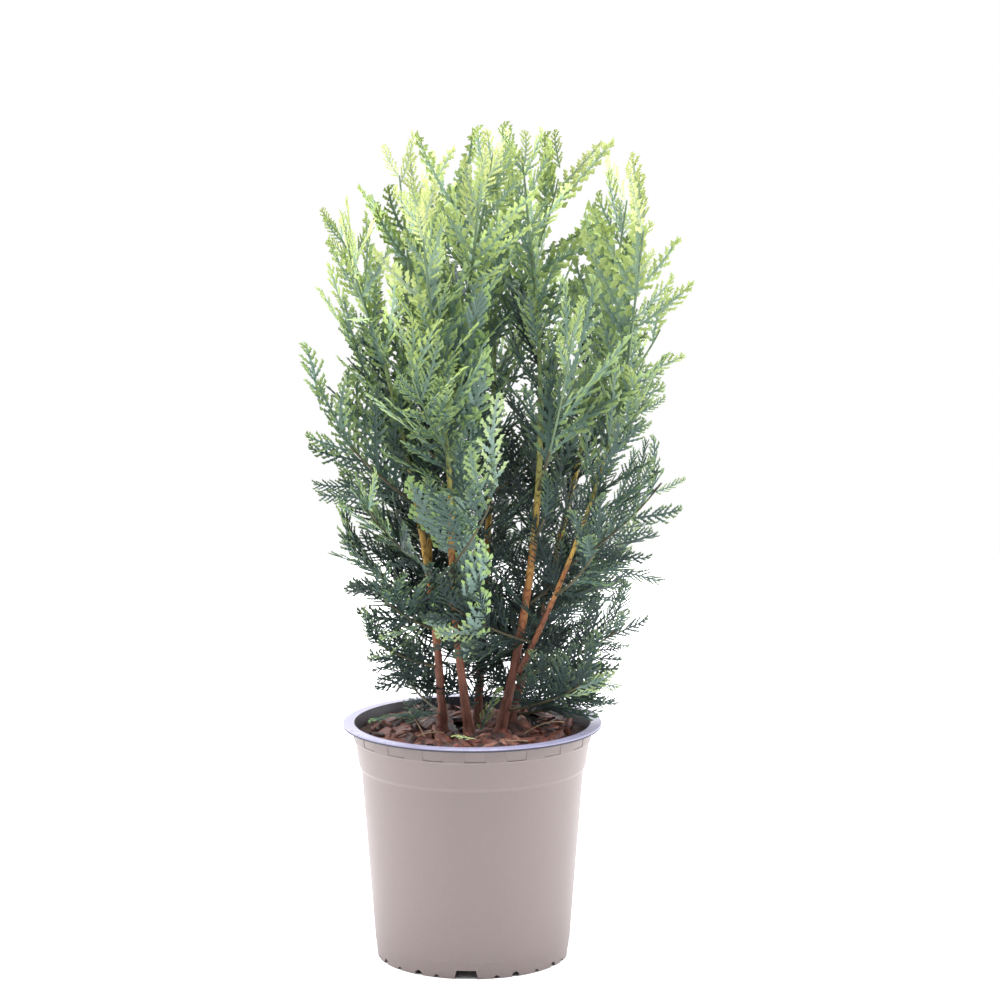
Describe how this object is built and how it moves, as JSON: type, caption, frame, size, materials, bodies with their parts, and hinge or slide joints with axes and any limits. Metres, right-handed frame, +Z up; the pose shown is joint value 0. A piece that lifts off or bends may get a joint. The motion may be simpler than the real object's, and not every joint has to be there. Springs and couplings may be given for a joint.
{
  "type": "potted lawson cypress",
  "caption": "Young, bushy Lawson cypress with upright stems and flat fern-like sprays of blue-green foliage, growing in a round plastic nursery pot topped with bark mulch.",
  "frame": {"origin": "middle of the flat pad under the pot, on the ground the pot stands on", "axes": "+Z up along the stems; the side shown in the picture faces -Y; +X is to the right in the picture"},
  "size_m": [0.241, 0.216, 0.5434],
  "materials": {
    "pot_plastic": "satin taupe polypropylene",
    "compost": "moist dark potting compost",
    "bark_mulch": "rough reddish-brown bark chips",
    "stem_bark": "flaking red-brown to orange bark",
    "cypress_foliage": "matt scale leaves"
  },
  "bodies": {
    "root": {"bark_mulch": "bark_mulch", "bough_front_fork": "stem_bark", "bough_left_fork": "stem_bark", "bough_right_fork": "stem_bark", "compost": "compost", "foliage_front_fork_01": "cypress_foliage", "foliage_front_fork_top": "cypress_foliage", "foliage_left_01": "cypress_foliage", "foliage_left_02": "cypress_foliage", "foliage_left_03": "cypress_foliage", "foliage_left_04": "cypress_foliage", "foliage_left_05": "cypress_foliage", "foliage_left_06": "cypress_foliage", "foliage_left_07": "cypress_foliage", "foliage_left_08": "cypress_foliage", "foliage_left_fork_01": "cypress_foliage", "foliage_left_fork_02": "cypress_foliage", "foliage_left_fork_03": "cypress_foliage", "foliage_left_fork_04": "cypress_foliage", "foliage_left_fork_top": "cypress_foliage", "foliage_left_top": "cypress_foliage", "foliage_middle_01": "cypress_foliage", "foliage_middle_02": "cypress_foliage", "foliage_middle_03": "cypress_foliage", "foliage_middle_04": "cypress_foliage", "foliage_middle_top": "cypress_foliage", "foliage_rear_01": "cypress_foliage", "foliage_rear_02": "cypress_foliage", "foliage_rear_03": "cypress_foliage", "foliage_rear_04": "cypress_foliage", "foliage_rear_05": "cypress_foliage", "foliage_rear_06": "cypress_foliage", "foliage_rear_07": "cypress_foliage", "foliage_rear_right_01": "cypress_foliage", "foliage_rear_right_02": "cypress_foliage", "foliage_rear_right_03": "cypress_foliage", "foliage_rear_right_04": "cypress_foliage", "foliage_rear_right_05": "cypress_foliage", "foliage_rear_right_06": "cypress_foliage", "foliage_rear_right_top": "cypress_foliage", "foliage_rear_top": "cypress_foliage", "foliage_right_01": "cypress_foliage", "foliage_right_02": "cypress_foliage", "foliage_right_03": "cypress_foliage", "foliage_right_04": "cypress_foliage", "foliage_right_05": "cypress_foliage", "foliage_right_06": "cypress_foliage", "foliage_right_fork_01": "cypress_foliage", "foliage_right_fork_02": "cypress_foliage", "foliage_right_fork_03": "cypress_foliage", "foliage_right_fork_04": "cypress_foliage", "foliage_right_fork_05": "cypress_foliage", "foliage_right_fork_top": "cypress_foliage", "foliage_right_top": "cypress_foliage", "pot": "pot_plastic", "stem_left": "stem_bark", "stem_middle": "stem_bark", "stem_rear": "stem_bark", "stem_rear_right": "stem_bark", "stem_right": "stem_bark"}
  },
  "joints": []
}
